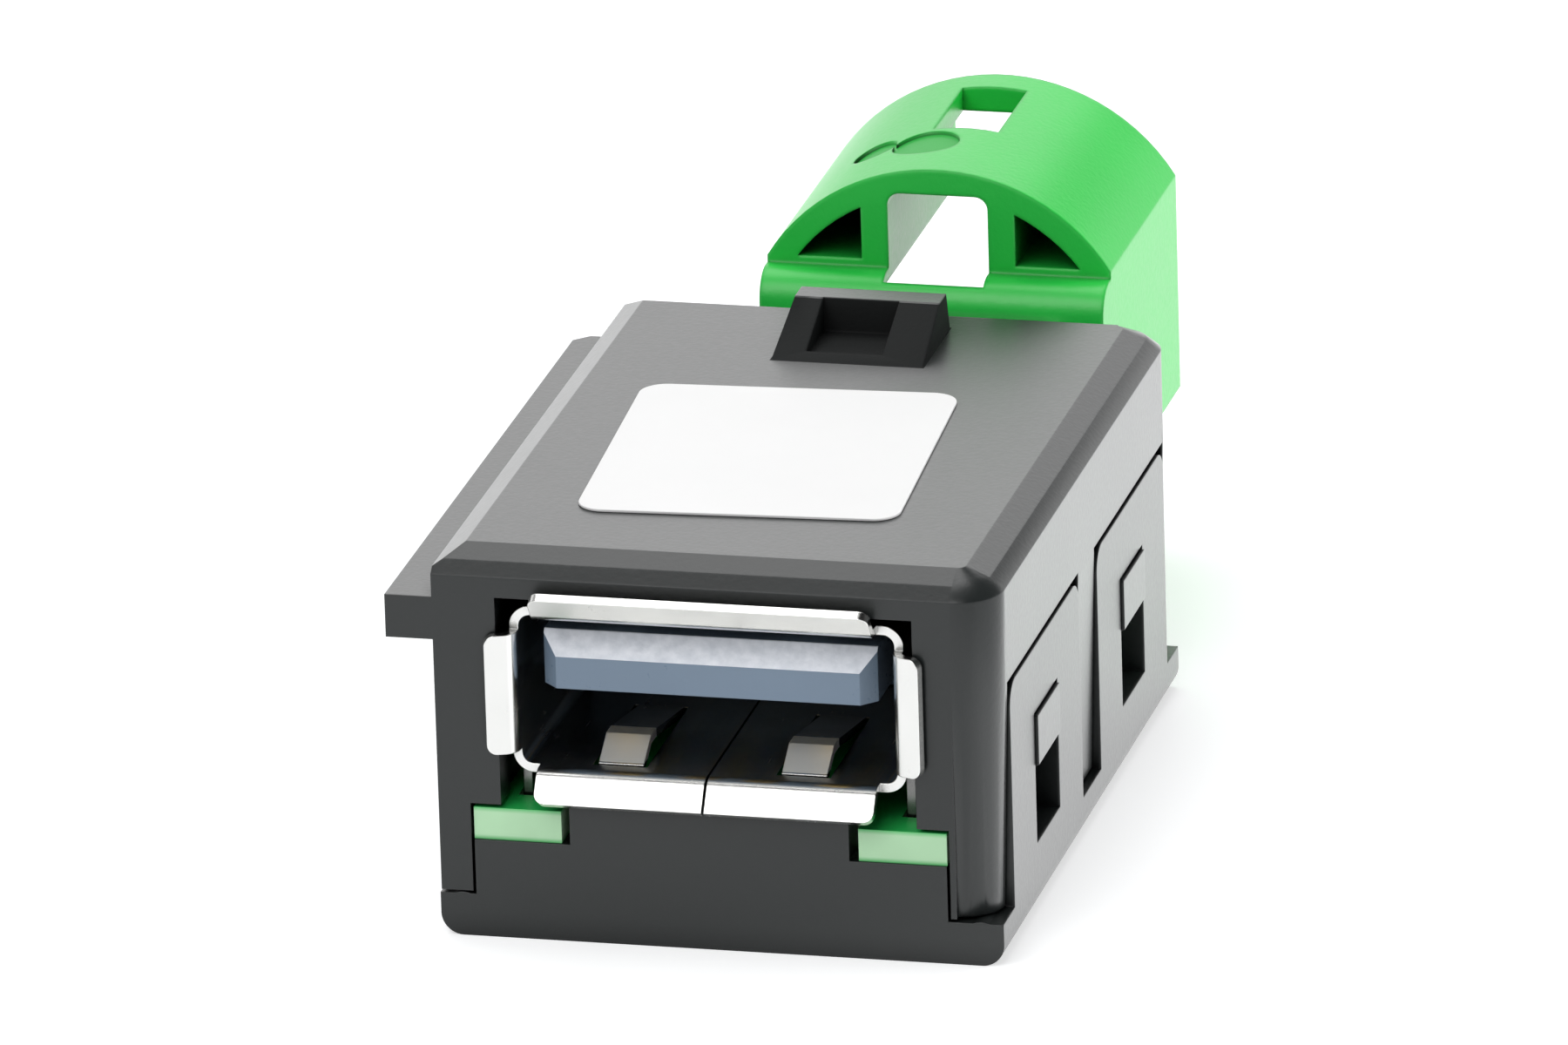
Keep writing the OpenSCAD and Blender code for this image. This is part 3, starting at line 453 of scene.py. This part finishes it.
def rolled_metal():
    """Group: rolling lines, faint stains and uneven shine of plated metal."""
    name = "Rolled metal"
    if name in bpy.data.node_groups:
        return bpy.data.node_groups[name]
    tree, given, result = new_group(
        name,
        [("Colour", COLOUR, (0.8, 0.8, 0.8, 1)), ("Roughness", NUMBER, 0.25),
         ("Spacing", NUMBER, 0.0001), ("Stain", NUMBER, 0.2)],
        [("Colour", COLOUR), ("Roughness", NUMBER), ("Height", NUMBER)],
    )
    point = object_point(tree)
    along = add_node(
        tree, "ShaderNodeMapping", {"Vector": point, "Scale": ROLLING_STRETCH}
    ).outputs[0]
    line_scale = maths(tree, "DIVIDE", 1.0, given["Spacing"])
    lines = noise(tree, along, line_scale)
    stain_scale = maths(tree, "MULTIPLY", line_scale, STAIN_SCALE)
    stain = remap(tree, noise(tree, point, stain_scale, detail=5.0), STAIN_RAMP)
    dulled = maths(tree, "MULTIPLY", stain, given["Stain"])
    tint = mix_colours(tree, dulled, given["Colour"], shaded(tree, given["Colour"], STAIN_SHADE))
    shine = maths(tree, "MULTIPLY", maths(tree, "SUBTRACT", lines, 0.5), GLOSS_SWING)
    rough = maths(tree, "ADD", maths(tree, "ADD", given["Roughness"], shine), dulled, clamp=True)
    tree.links.new(tint, result["Colour"])
    tree.links.new(rough, result["Roughness"])
    tree.links.new(lines, result["Height"])
    return tree


def zone():
    """Group: mask that is 1 inside a box given by two corners."""
    name = "Zone"
    if name in bpy.data.node_groups:
        return bpy.data.node_groups[name]
    tree, given, result = new_group(
        name,
        [("Low", VECTOR, (0, 0, 0)), ("High", VECTOR, (0, 0, 0))],
        [("Mask", NUMBER)],
    )
    point = object_point(tree)
    above = vector_maths(tree, "SUBTRACT", point, given["Low"])["Vector"]
    below = vector_maths(tree, "SUBTRACT", given["High"], point)["Vector"]
    room = split_vector(tree, vector_maths(tree, "MINIMUM", above, below)["Vector"])
    least = maths(tree, "MINIMUM", maths(tree, "MINIMUM", room["X"], room["Y"]), room["Z"])
    tree.links.new(maths(tree, "GREATER_THAN", least, 0.0), result["Mask"])
    return tree


# Materials


def opened(material):
    """A material's node tree and Principled shader."""
    tree = material.node_tree
    return tree, tree.nodes["Principled BSDF"]


def new_material(name):
    """A material with its node tree and Principled shader."""
    material = bpy.data.materials.new(name)
    material.use_nodes = True
    return material, *opened(material)


def feeding(shader, *names):
    """Sockets that feed a shader's named inputs."""
    return [shader.inputs[name].links[0].from_socket for name in names]


def zone_mask(tree, low, high):
    """Socket with the mask of a box."""
    return place_group(tree, zone(), {"Low": low, "High": high})["Mask"]


def bumped(tree, height, relief, strength, normal=None):
    """Socket with a normal bumped by a height; relief is the depth of the bump in metres."""
    inputs = {"Height": height, "Strength": strength, "Distance": relief}
    node = add_node(tree, "ShaderNodeBump", inputs)
    if normal:
        tree.links.new(normal, node.inputs["Normal"])
    return node.outputs[0]


def moulded_plastic(name, colour, roughness, width, depth, wear=0.15, skin=0.0):
    """Satin moulded plastic: grain, soft rubbed edges, painted shade in recesses, and a skin whose
    coat the painted shade takes away there.
    """
    sizes = settings().sizes
    material, tree, shader = new_material(name)
    finish = place_group(tree, moulded_grain(), {
        "Colour": opaque(colour), "Roughness": roughness,
        "Grain": sizes.plastic_grain, "Clouding": 0.05,
    })
    edge = place_group(tree, soft_edge(), {"Width": width, "Wear": wear})
    # Painted shade: the base colour darkens where walls stand close around
    recess = {"Reach": sizes.recess_reach, "Depth": depth}
    shade = place_group(tree, recess_shade(), recess)["Shade"]
    worn = opaque([min(1.0, channel * WORN_LIFT) for channel in colour])
    give(tree, shader, {
        "Base Color": shaded(tree, mix_colours(tree, edge["Mask"], finish["Colour"], worn), shade),
        "Roughness": finish["Roughness"],
        "Normal": bumped(
            tree, finish["Height"], relief=0.00002, strength=0.5, normal=edge["Normal"]
        ),
    })
    if skin:
        # Painted shade also thins the skin's coat in recesses, by the square of the shade
        give(tree, shader, {
            "Coat Weight": maths(tree, "MULTIPLY", maths(tree, "POWER", shade, 2.0), skin),
            "Coat Roughness": roughness,
        })
    return material


def housing_plastic(name, colour, roughness):
    """Black plastic of the housing: a glossy skin over the satin, and at the catch a matt zone
    whose colour is halved as painted shade.
    """
    sizes = settings().sizes
    material = moulded_plastic(
        name, colour, roughness, width=sizes.housing_round, depth=0.85, skin=1.0
    )
    tree, shader = opened(material)
    matt_and_shaded = zone_mask(tree, sizes.catch_low, sizes.catch_high)
    tint, satin, skin = feeding(shader, "Base Color", "Roughness", "Coat Weight")
    # At the catch: colour halved as painted shade, matt roughness and no skin
    give(tree, shader, {
        "Base Color": mix_colours(tree, matt_and_shaded, tint, shaded(tree, tint, 0.5)),
        "Roughness": mix_numbers(tree, matt_and_shaded, satin, 0.75),
        "IOR": PLASTIC_IOR,
        "Coat Weight": mix_numbers(tree, matt_and_shaded, skin, 0.0),
        "Coat IOR": PLASTIC_IOR,
    })
    return material


def blade_plastic():
    """Blue-grey plastic of the blade, whose upward-facing bevelled front gets a patchy painted
    highlight.
    """
    colours = settings().colours
    sizes = settings().sizes
    material = moulded_plastic(
        "Blade plastic", colours.blade, roughness=0.3, width=sizes.metal_round, depth=0.5, wear=0.0
    )
    tree, shader = opened(material)
    # Painted highlight: the rubbed colour lightens the blade's front where it faces up, in patches
    front = zone_mask(tree, sizes.blade_highlight_low, sizes.blade_highlight_high)
    upward = remap(tree, upward_normal(tree), BLADE_RAMP)
    patches = noise(tree, object_point(tree), PATCH_SCALE, detail=4.0)
    patchy = remap(tree, patches, PATCH_RAMP, PATCH_LEAST)
    rubbed = maths(tree, "MULTIPLY", maths(tree, "MULTIPLY", front, upward), patchy)
    tint, = feeding(shader, "Base Color")
    give(tree, shader, {"Base Color": mix_colours(tree, rubbed, tint, opaque(colours.rubbed))})
    return material


def shroud_plastic():
    """Green plastic of the shroud, with a darker, matt ground in its two marks."""
    sizes = settings().sizes
    material = moulded_plastic(
        "Shroud plastic", settings().colours.shroud,
        roughness=0.36, width=sizes.shroud_round, depth=0.9, skin=0.25,
    )
    tree, shader = opened(material)
    near = zone_mask(tree, sizes.mark_low, sizes.mark_high)
    offset = vector_maths(tree, "SUBTRACT", object_point(tree), sizes.arch_axis)["Vector"]
    across = vector_maths(tree, "MULTIPLY", offset, (1.0, 0.0, 1.0))["Vector"]
    radius = vector_maths(tree, "LENGTH", across)["Value"]
    miss = maths(tree, "ABSOLUTE", maths(tree, "SUBTRACT", radius, sizes.mark_radius))
    ground = maths(tree, "MULTIPLY", near, maths(tree, "LESS_THAN", miss, sizes.mark_miss))
    tint, satin = feeding(shader, "Base Color", "Roughness")
    give(tree, shader, {
        "Base Color": mix_colours(tree, ground, tint, shaded(tree, tint, 0.75)),
        "Roughness": mix_numbers(tree, ground, satin, 0.6),
    })
    return material


def plated_metal(name, colour, roughness, reach, depth, stain=0.1):
    """Plated metal with rolling lines, soft edges and painted shade in recesses."""
    sizes = settings().sizes
    material, tree, shader = new_material(name)
    finish = place_group(tree, rolled_metal(), {
        "Colour": opaque(colour), "Roughness": roughness,
        "Spacing": sizes.metal_grain, "Stain": stain,
    })
    edge = place_group(tree, soft_edge(), {"Width": sizes.metal_round, "Wear": 0.0})
    # Painted shade: the base colour darkens in recesses
    shade = place_group(tree, recess_shade(), {"Reach": reach, "Depth": depth})["Shade"]
    give(tree, shader, {
        "Base Color": shaded(tree, finish["Colour"], shade),
        "Roughness": finish["Roughness"],
        "Metallic": 1.0,
        "Normal": bumped(
            tree, finish["Height"], relief=0.000003, strength=0.06, normal=edge["Normal"]
        ),
    })
    return material


def tinned_sheet():
    """Tin plating of the port's shell, rougher on its spring fingers, where the painted port shade
    is left off so that they look lit.
    """
    colours = settings().colours
    sizes = settings().sizes
    material = plated_metal(
        "Tinned sheet", colours.tin, roughness=0.22, reach=sizes.port_reach, depth=0.9, stain=0.05
    )
    tree, shader = opened(material)
    scuffed_unshaded = zone_mask(tree, sizes.scuff_unshaded_low, sizes.scuff_unshaded_high)
    tint, shine = feeding(shader, "Base Color", "Roughness")
    # On the fingers the painted port shade is left off, which lightens them, and the roughness is
    # raised
    give(tree, shader, {
        "Base Color": mix_colours(tree, scuffed_unshaded, tint, opaque(colours.tin)),
        "Roughness": mix_numbers(tree, scuffed_unshaded, shine, 0.5),
    })
    return material


def board_laminate():
    """Solder mask on the board's faces and rims, and pale glass laminate on its cut edges."""
    colours = settings().colours
    low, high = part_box("circuit_board")
    material, tree, shader = new_material("Board laminate")
    mask = place_group(tree, moulded_grain(), {
        "Colour": opaque(colours.mask), "Roughness": 0.3, "Grain": 0.0003, "Clouding": 0.08,
    })
    edge = place_group(tree, moulded_grain(), {
        "Colour": opaque(colours.laminate), "Roughness": 0.6, "Grain": 0.00012, "Clouding": 0.08,
    })
    face = remap(tree, maths(tree, "ABSOLUTE", upward_normal(tree)), BOARD_RAMP)
    height = split_vector(tree, object_point(tree))["Z"]
    below_top = maths(tree, "SUBTRACT", high[2], height)
    above_bottom = maths(tree, "SUBTRACT", height, low[2])
    inward = maths(tree, "MINIMUM", below_top, above_bottom)
    rim = remap(tree, inward, (0.0, settings().sizes.mask_rim), RIM_SHARE, 0.0)
    green = maths(tree, "MAXIMUM", face, rim)
    give(tree, shader, {
        "Base Color": mix_colours(tree, green, edge["Colour"], mask["Colour"]),
        "Roughness": mix_numbers(tree, face, edge["Roughness"], mask["Roughness"]),
        "Normal": bumped(tree, edge["Height"], relief=0.00001, strength=0.4),
    })
    return material


def capped_part(name, colour, node, axis, body_half):
    """Fired or moulded part whose ends beyond body_half, along the axis X or Y, are tinned."""
    low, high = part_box(node)
    side = "XYZ".index(axis)
    middle = (low[side] + high[side]) / 2
    material, tree, shader = new_material(name)
    body = place_group(tree, moulded_grain(), {
        "Colour": opaque(colour), "Roughness": 0.5, "Grain": 0.00008, "Clouding": 0.08,
    })
    tinned = place_group(tree, rolled_metal(), {
        "Colour": opaque(settings().colours.caps), "Roughness": 0.3,
        "Spacing": 0.00012, "Stain": 0.2,
    })
    place = split_vector(tree, object_point(tree))[axis]
    offset = maths(tree, "ABSOLUTE", maths(tree, "SUBTRACT", place, middle))
    ends = maths(tree, "GREATER_THAN", offset, body_half)
    give(tree, shader, {
        "Base Color": mix_colours(tree, ends, body["Colour"], tinned["Colour"]),
        "Roughness": mix_numbers(tree, ends, body["Roughness"], tinned["Roughness"]),
        "Metallic": ends,
        "Normal": bumped(tree, body["Height"], relief=0.000006, strength=0.3),
    })
    return material


def label_paper():
    """Blank semi-gloss label with faint paper fibres."""
    material, tree, shader = new_material("Label paper")
    finish = place_group(tree, moulded_grain(), {
        "Colour": opaque(settings().colours.paper), "Roughness": 0.45,
        "Grain": 0.0002, "Clouding": 0.02,
    })
    give(tree, shader, {
        "Base Color": finish["Colour"],
        "Roughness": finish["Roughness"],
        "Normal": bumped(tree, finish["Height"], relief=0.000004, strength=0.25),
    })
    return material


# Pieces


def finish_node(node, material):
    """Gives a CAD node its material."""
    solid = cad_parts[node]
    solid.data.materials.clear()
    solid.data.materials.append(material)
    return solid


def round_edges(solid, width):
    """Rounds a solid's sharp edges with modifiers; its own mesh stays as it is."""
    join = solid.modifiers.new("Join corners", "WELD")
    join.merge_threshold = WELD_DISTANCE
    flat = solid.modifiers.new("Merge flat faces", "DECIMATE")
    flat.decimate_type = "DISSOLVE"
    flat.angle_limit = FLAT_ANGLE
    bevel = solid.modifiers.new("Round edges", "BEVEL")
    bevel.width = width
    bevel.segments = ROUND_SEGMENTS
    bevel.limit_method = "ANGLE"
    bevel.angle_limit = SHARP_ANGLE
    bevel.miter_outer = "MITER_ARC"
    bevel.harden_normals = True


class DressHousing(bpy.types.Operator):
    """Finishes the cover and the base with its snap tongues"""

    bl_idname = "car_socket.dress_housing"
    bl_label = "Housing"

    def execute(self, context):
        colours = settings().colours
        cover = housing_plastic("Cover plastic", colours.cover, roughness=0.32)
        base = housing_plastic("Base plastic", colours.base, roughness=0.34)
        round_edges(finish_node("upper_housing", cover), settings().sizes.housing_round)
        finish_node("lower_housing", base)
        return {"FINISHED"}


class DressLabel(bpy.types.Operator):
    """Finishes the blank label"""

    bl_idname = "car_socket.dress_label"
    bl_label = "Label"

    def execute(self, context):
        round_edges(finish_node("top_label", label_paper()), settings().sizes.label_round)
        return {"FINISHED"}


class DressPort(bpy.types.Operator):
    """Finishes the port: shell, contact blade and contacts"""

    bl_idname = "car_socket.dress_port"
    bl_label = "Port"

    def execute(self, context):
        finish_node("usb_shell", tinned_sheet())
        finish_node("usb_insulator", blade_plastic())
        gold = plated_metal(
            "Contact gold", settings().colours.gold,
            roughness=0.38, reach=settings().sizes.recess_reach, depth=0.1,
        )
        for number in range(1, 5):
            finish_node(f"usb_contact_{number}", gold)
        return {"FINISHED"}


class DressBoard(bpy.types.Operator):
    """Finishes the circuit board and the small parts on it"""

    bl_idname = "car_socket.dress_board"
    bl_label = "Board"

    chip_half: length_property("Chip", "Half the width of the chip between its leads", 0.00065)
    part_half: length_property("Ferrites", "Half the length between their end caps", 0.0007)
    capacitor_half: length_property(
        "Capacitors", "Half the length between their end caps", 0.0005
    )

    def execute(self, context):
        colours = settings().colours
        finish_node("circuit_board", board_laminate())
        small_parts = (
            ("Chip resin", colours.resin, "surge_protection_chip", "Y", self.chip_half),
            ("Ferrite of noise_choke", colours.ferrite, "noise_choke", "X", self.part_half),
            ("Ferrite of supply_ferrite", colours.ferrite, "supply_ferrite", "X", self.part_half),
            ("Capacitor ceramic", colours.ceramic, "ceramic_capacitors", "X", self.capacitor_half),
        )
        for name, colour, node, axis, body_half in small_parts:
            finish_node(node, capped_part(name, colour, node, axis, body_half))
        return {"FINISHED"}


class DressConnector(bpy.types.Operator):
    """Finishes the rear connector: shroud, cast body, insulator and pins"""

    bl_idname = "car_socket.dress_connector"
    bl_label = "Rear connector"

    def execute(self, context):
        colours = settings().colours
        sizes = settings().sizes
        finish_node("connector_shroud", shroud_plastic())
        casting = plated_metal(
            "Plated casting", colours.casting, roughness=0.55, reach=sizes.recess_reach, depth=0.85
        )
        finish_node("connector_body", casting)
        white = moulded_plastic(
            "Insulator plastic", colours.insulator,
            roughness=0.45, width=sizes.metal_round, depth=0.85, wear=0.0,
        )
        finish_node("connector_insulator", white)
        gold = plated_metal(
            "Pin gold", colours.gold, roughness=0.2, reach=sizes.recess_reach, depth=0.3
        )
        for number in range(1, 5):
            finish_node(f"connector_pin_{number}", gold)
        return {"FINISHED"}


# Stage


def camera_axes(stage):
    """Directions to the camera's right, up and back."""
    turn, lift, roll = stage.azimuth, stage.elevation, stage.roll
    right = Vector((math.cos(turn), math.sin(turn), 0))
    level = math.cos(lift)
    back = Vector((math.sin(turn) * level, -math.cos(turn) * level, math.sin(lift)))
    up = back.cross(right)
    across = right * math.cos(roll) + up * math.sin(roll)
    return across, back.cross(across), back


def seen_directly(tree):
    """Socket that is 1 for camera, mirror and glass rays."""
    path = add_node(tree, "ShaderNodeLightPath").outputs
    seen = maths(tree, "MAXIMUM", path["Is Camera Ray"], path["Is Glossy Ray"])
    return maths(tree, "MAXIMUM", seen, path["Is Transmission Ray"])


def floor_material(stage):
    """Pale floor that keeps shadows, glows white where it is seen and is clear from below."""
    material, tree, shader = new_material("Studio floor")
    path = add_node(tree, "ShaderNodeLightPath").outputs
    point = object_point(tree)
    diagonal = vector_maths(tree, "DOT_PRODUCT", point, (1.0, 1.0, 0.0))["Value"]
    behind = remap(tree, diagonal, BEHIND_RAMP, stage.front_glow, stage.back_glow)
    beside = remap(tree, split_vector(tree, point)["X"], BESIDE_RAMP, 1.0, BESIDE_SHARE)
    glow = maths(tree, "MULTIPLY", behind, beside)
    mirrored = maths(tree, "MULTIPLY", path["Is Glossy Ray"], glow)
    distance = vector_maths(tree, "LENGTH", point)["Value"]
    direct = remap(tree, distance, FAR_RAMP, stage.floor_glow, stage.far_glow)
    seen = maths(tree, "MULTIPLY", path["Is Camera Ray"], direct)
    give(tree, shader, {
        "Base Color": opaque(stage.floor_tone),
        "Roughness": 0.9,
        "Specular IOR Level": 0.0,
        "Emission Color": WHITE,
        "Emission Strength": maths(tree, "ADD", seen, mirrored),
    })
    clear = add_node(tree, "ShaderNodeBsdfTransparent").outputs[0]
    below = add_node(tree, "ShaderNodeNewGeometry").outputs["Backfacing"]
    both = add_node(tree, "ShaderNodeMixShader", {0: below, 1: shader.outputs[0], 2: clear})
    tree.links.new(both.outputs[0], tree.nodes["Material Output"].inputs["Surface"])
    return material


def soft_box(name, place, span, power, mirrored=True):
    """A rectangular lamp that faces the object; mirrored says whether glossy surfaces show it."""
    lamp = bpy.data.lights.new(name, "AREA")
    lamp.shape = "RECTANGLE"
    lamp.size, lamp.size_y = span
    lamp.energy = power
    box = bpy.data.objects.new(name, lamp)
    box.location = place
    box.visible_glossy = mirrored
    box.rotation_mode = "QUATERNION"
    middle = (CAD_BOX[0] + CAD_BOX[1]) / 2
    box.rotation_quaternion = (middle - Vector(place)).to_track_quat("-Z", "Y")
    bpy.context.scene.collection.objects.link(box)


class SetStage(bpy.types.Operator):
    """Sets the floor, the surroundings, the lights and the camera"""

    bl_idname = "car_socket.set_stage"
    bl_label = "Stage"

    def execute(self, context):
        scene = context.scene
        stage = settings().stage
        self.lay_floor(scene, stage)
        self.light_surroundings(scene, stage)
        soft_box("Top light", stage.top_place, stage.top_span, stage.top_power)
        soft_box("Front light", stage.front_place, stage.front_span, stage.front_power)
        soft_box("Side light", stage.side_place, stage.side_span, stage.side_power, mirrored=False)
        soft_box("Back light", stage.back_place, stage.back_span, stage.back_power)
        self.place_camera(scene, stage)
        scene.view_settings.view_transform = "Standard"
        return {"FINISHED"}

    @staticmethod
    def lay_floor(scene, stage):
        """Square floor under the object."""
        half = stage.floor_size / 2
        corners = [(-half, -half, 0), (half, -half, 0), (half, half, 0), (-half, half, 0)]
        mesh = bpy.data.meshes.new("Floor")
        mesh.from_pydata(corners, [], [(0, 1, 2, 3)])
        mesh.materials.append(floor_material(stage))
        floor = bpy.data.objects.new("Floor", mesh)
        scene.collection.objects.link(floor)

    @staticmethod
    def light_surroundings(scene, stage):
        """Surroundings: white to the eye, dim in parts in reflections, plain in their light."""
        world = bpy.data.worlds.new("Studio")
        world.use_nodes = True
        scene.world = world
        tree = world.node_tree
        part = split_vector(tree, add_node(tree, "ShaderNodeTexCoord").outputs["Generated"])
        overhead = remap(tree, part["Z"], OVERHEAD_RAMP, 1.0, stage.ceiling)
        in_front = remap(tree, part["Y"], FRONT_RAMP, stage.front_dim, 1.0)
        on_right = remap(tree, part["X"], RIGHT_RAMP, 1.0, stage.right_dim)
        low_down = remap(tree, part["Z"], HIGH_RAMP, 1.0, 0.0)
        high_right = maths(tree, "MAXIMUM", on_right, low_down)
        dimmed = maths(tree, "MULTIPLY", overhead, in_front)
        mirrored = maths(tree, "MULTIPLY", dimmed, high_right)
        camera = add_node(tree, "ShaderNodeLightPath").outputs["Is Camera Ray"]
        shown = maths(tree, "MAXIMUM", camera, mirrored)
        level = mix_numbers(tree, seen_directly(tree), stage.sky_light, shown)
        give(tree, tree.nodes["Background"], {"Color": WHITE, "Strength": level})

    @staticmethod
    def place_camera(scene, stage):
        """Camera at the photograph's viewing angle."""
        across, up, back = camera_axes(stage)
        lens = bpy.data.cameras.new("Camera")
        lens.lens = stage.focal
        lens.sensor_width = stage.sensor
        camera = bpy.data.objects.new("Camera", lens)
        turn = Matrix((across, up, back)).transposed().to_4x4()
        place = Vector(stage.aim) + back * stage.distance
        camera.matrix_world = Matrix.Translation(place) @ turn
        scene.collection.objects.link(camera)
        scene.camera = camera


# Panel and registration


class SocketPanel(bpy.types.Panel):
    """Buttons for the socket's pieces and the stage"""

    bl_idname = "VIEW3D_PT_car_socket"
    bl_label = "Car socket"
    bl_space_type = "VIEW_3D"
    bl_region_type = "UI"
    bl_category = "Car socket"

    def draw(self, context):
        for operator in OPERATORS:
            self.layout.operator(operator.bl_idname)
        for group in (settings().colours, settings().sizes, settings().stage):
            column = self.layout.column()
            for name in group.__annotations__:
                column.prop(group, name)


OPERATORS = (DressHousing, DressLabel, DressPort, DressBoard, DressConnector, SetStage)
CLASSES = (SocketColours, SocketSizes, SocketStage, SocketSettings, *OPERATORS, SocketPanel)


def register():
    """Registers the classes and the settings."""
    for cls in CLASSES:
        bpy.utils.register_class(cls)
    bpy.types.Scene.car_socket = PointerProperty(type=SocketSettings)


def unregister():
    """Removes the settings and the classes."""
    del bpy.types.Scene.car_socket
    for cls in reversed(CLASSES):
        bpy.utils.unregister_class(cls)


def main():
    """Builds the whole scene."""
    register()
    bpy.ops.car_socket.dress_housing()
    bpy.ops.car_socket.dress_label()
    bpy.ops.car_socket.dress_port()
    bpy.ops.car_socket.dress_board()
    bpy.ops.car_socket.dress_connector()
    bpy.ops.car_socket.set_stage()


if __name__ == "__main__":
    main()
